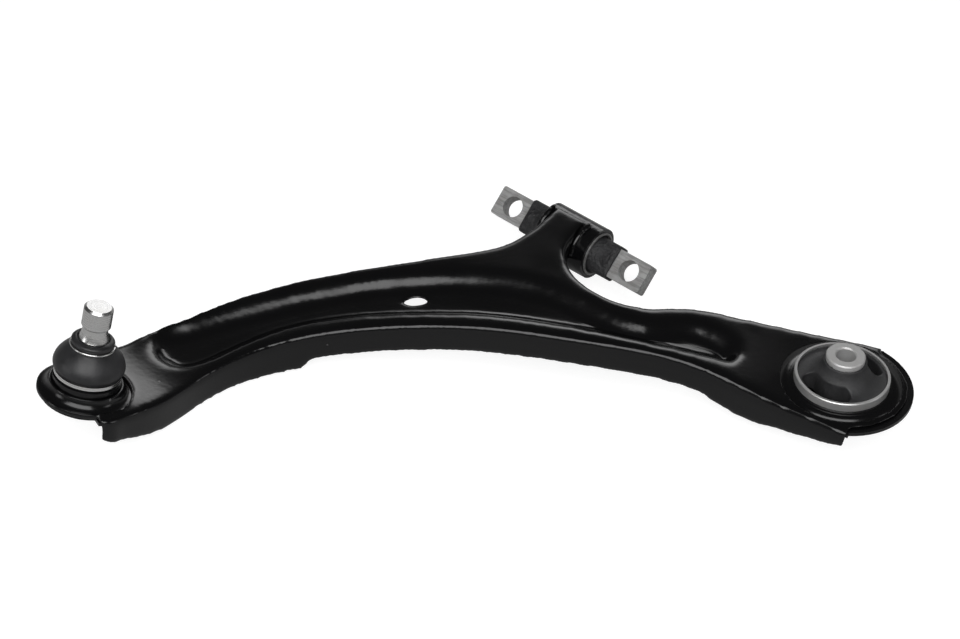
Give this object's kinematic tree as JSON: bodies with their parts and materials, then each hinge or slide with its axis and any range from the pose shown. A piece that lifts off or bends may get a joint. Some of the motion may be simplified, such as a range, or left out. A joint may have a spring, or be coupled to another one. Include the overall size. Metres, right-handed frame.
{
  "type": "front lower suspension control arm",
  "caption": "Pressed steel lower control arm with a booted ball joint, a cross-bar pivot bush and an upright rear bush.",
  "frame": {"origin": "middle of the rear bush's inner sleeve bore", "axes": "+Z along the rear bush bore towards the ball stud's side; +X from the ball joint to the rear bush; +Y towards the side that carries the front bush"},
  "size_m": [0.5396, 0.2497, 0.0932],
  "materials": {
    "black_painted_steel": "gloss black dip paint",
    "black_painted_tube": "gloss black dip paint over weld",
    "turned_steel": "bright turned steel",
    "ground_bar": "cold drawn steel with fine scratches",
    "plated_ring": "bright zinc plated band",
    "sleeve_steel": "satin steel",
    "rim_steel": "cut edge of a steel sleeve",
    "housing_black": "black phosphate",
    "boot_rubber": "satin moulded rubber",
    "bush_rubber": "moulded rubber",
    "front_rubber": "rough moulded rubber with bonding overspill",
    "seat_plastic": "acetal",
    "spring_steel": "spring steel",
    "weld_bead": "rippled weld under black paint"
  },
  "bodies": {
    "arm": {"arm_upper_shell": "black_painted_steel", "arm_lower_plate": "black_painted_steel", "horn_weld_left": "weld_bead", "horn_weld_right": "weld_bead", "front_bush_tube": "black_painted_tube", "front_bush_sleeve": "sleeve_steel", "front_bush_rubber": "front_rubber", "rear_bush_sleeve": "rim_steel", "rear_bush_rubber": "bush_rubber", "ball_joint_housing": "housing_black", "upper_ball_seat": "seat_plastic", "lower_ball_seat": "seat_plastic", "seat_spring": "spring_steel", "ball_joint_cap": "turned_steel"},
    "boot_base": {"dust_boot": "boot_rubber", "boot_lower_ring": "plated_ring"},
    "boot_top": {"boot_upper_ring": "plated_ring"},
    "stud": {"ball_stud": "turned_steel"},
    "front_bar": {"front_bar_pin": "ground_bar"},
    "rear_pivot": {"rear_inner_sleeve": "sleeve_steel"}
  },
  "joints": [
    {"name": "stud_direction", "type": "hinge", "parent": "arm", "child": "boot_base", "pos_m": [-0.46438, 0.00056, 0.01081], "axis": [0.1564, 0.1209, 0.9803], "continuous": true},
    {"name": "stud_tilt", "type": "hinge", "parent": "boot_base", "child": "boot_top", "pos_m": [-0.46438, 0.00056, 0.01081], "axis": [-0.6115, 0.7912, 0], "range_deg": [-22, 22], "deforming": ["dust_boot"]},
    {"name": "stud_spin", "type": "hinge", "parent": "boot_top", "child": "stud", "pos_m": [-0.46438, 0.00056, 0.01081], "axis": [0.1564, 0.1209, 0.9803], "continuous": true},
    {"name": "front_bush_twist", "type": "hinge", "parent": "arm", "child": "front_bar", "pos_m": [-0.14941, 0.14941, 0], "axis": [0.7071, -0.7071, 0], "range_deg": [-20, 20], "stiffness_Nm_per_rad": 60, "deforming": ["front_bush_rubber"]},
    {"name": "rear_bush_tilt", "type": "hinge", "parent": "arm", "child": "rear_pivot", "pos_m": [0, 0, 0], "axis": [0.7071, -0.7071, 0], "range_deg": [-12, 12], "stiffness_Nm_per_rad": 80, "deforming": ["rear_bush_rubber"]}
  ]
}
